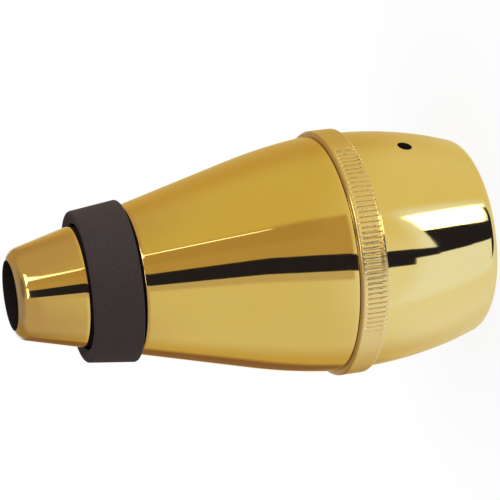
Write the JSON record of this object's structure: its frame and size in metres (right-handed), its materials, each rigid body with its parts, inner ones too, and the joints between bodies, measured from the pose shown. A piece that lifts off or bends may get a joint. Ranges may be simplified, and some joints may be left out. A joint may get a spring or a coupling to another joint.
{
  "type": "practice mute",
  "caption": "Hollow conical practice mute: a long front shell with an open mouth screws into a knurled barrel-shaped rear cap with a vent hole, and a foam ring on the cone seals it in a bell.",
  "frame": {"origin": "centre of the flat rear end that the mute stands on", "axes": "+Z along the axis of revolution, from the flat rear end to the mouth; the vent hole lies between -Y and +X"},
  "size_m": [0.0754, 0.0754, 0.1443],
  "materials": {
    "gold_metallised_abs": "injection-moulded black ABS, metallised mirror-bright gold outside and left black inside",
    "closed_cell_foam": "matte closed-cell foam rubber with a fine skin",
    "black_rubber": "moulded nitrile rubber, satin",
    "open_cell_foam": "cut open-cell polyurethane foam, matte"
  },
  "bodies": {
    "cap": {"rear_cap": "gold_metallised_abs", "damping_foam": "open_cell_foam"},
    "seal": {"joint_o_ring": "black_rubber"},
    "shell": {"front_shell": "gold_metallised_abs"},
    "bell_ring": {"bell_seal_ring": "closed_cell_foam"}
  },
  "joints": [
    {"name": "shell_lift", "type": "slide", "parent": "cap", "child": "seal", "axis": [0, 0, 1], "range_m": [0, 0.012]},
    {"name": "shell_unscrew", "type": "hinge", "parent": "seal", "child": "shell", "pos_m": [0, 0, 0.04785], "axis": [0, 0, 1], "range_deg": [0, 1080]},
    {"name": "bell_ring_pull", "type": "slide", "parent": "shell", "child": "bell_ring", "axis": [0, 0, 1], "range_m": [0, 0.04]}
  ],
  "couplings": [
    {"joint": "shell_lift", "follows": "shell_unscrew", "m_per_rad": 0.00063662}
  ]
}
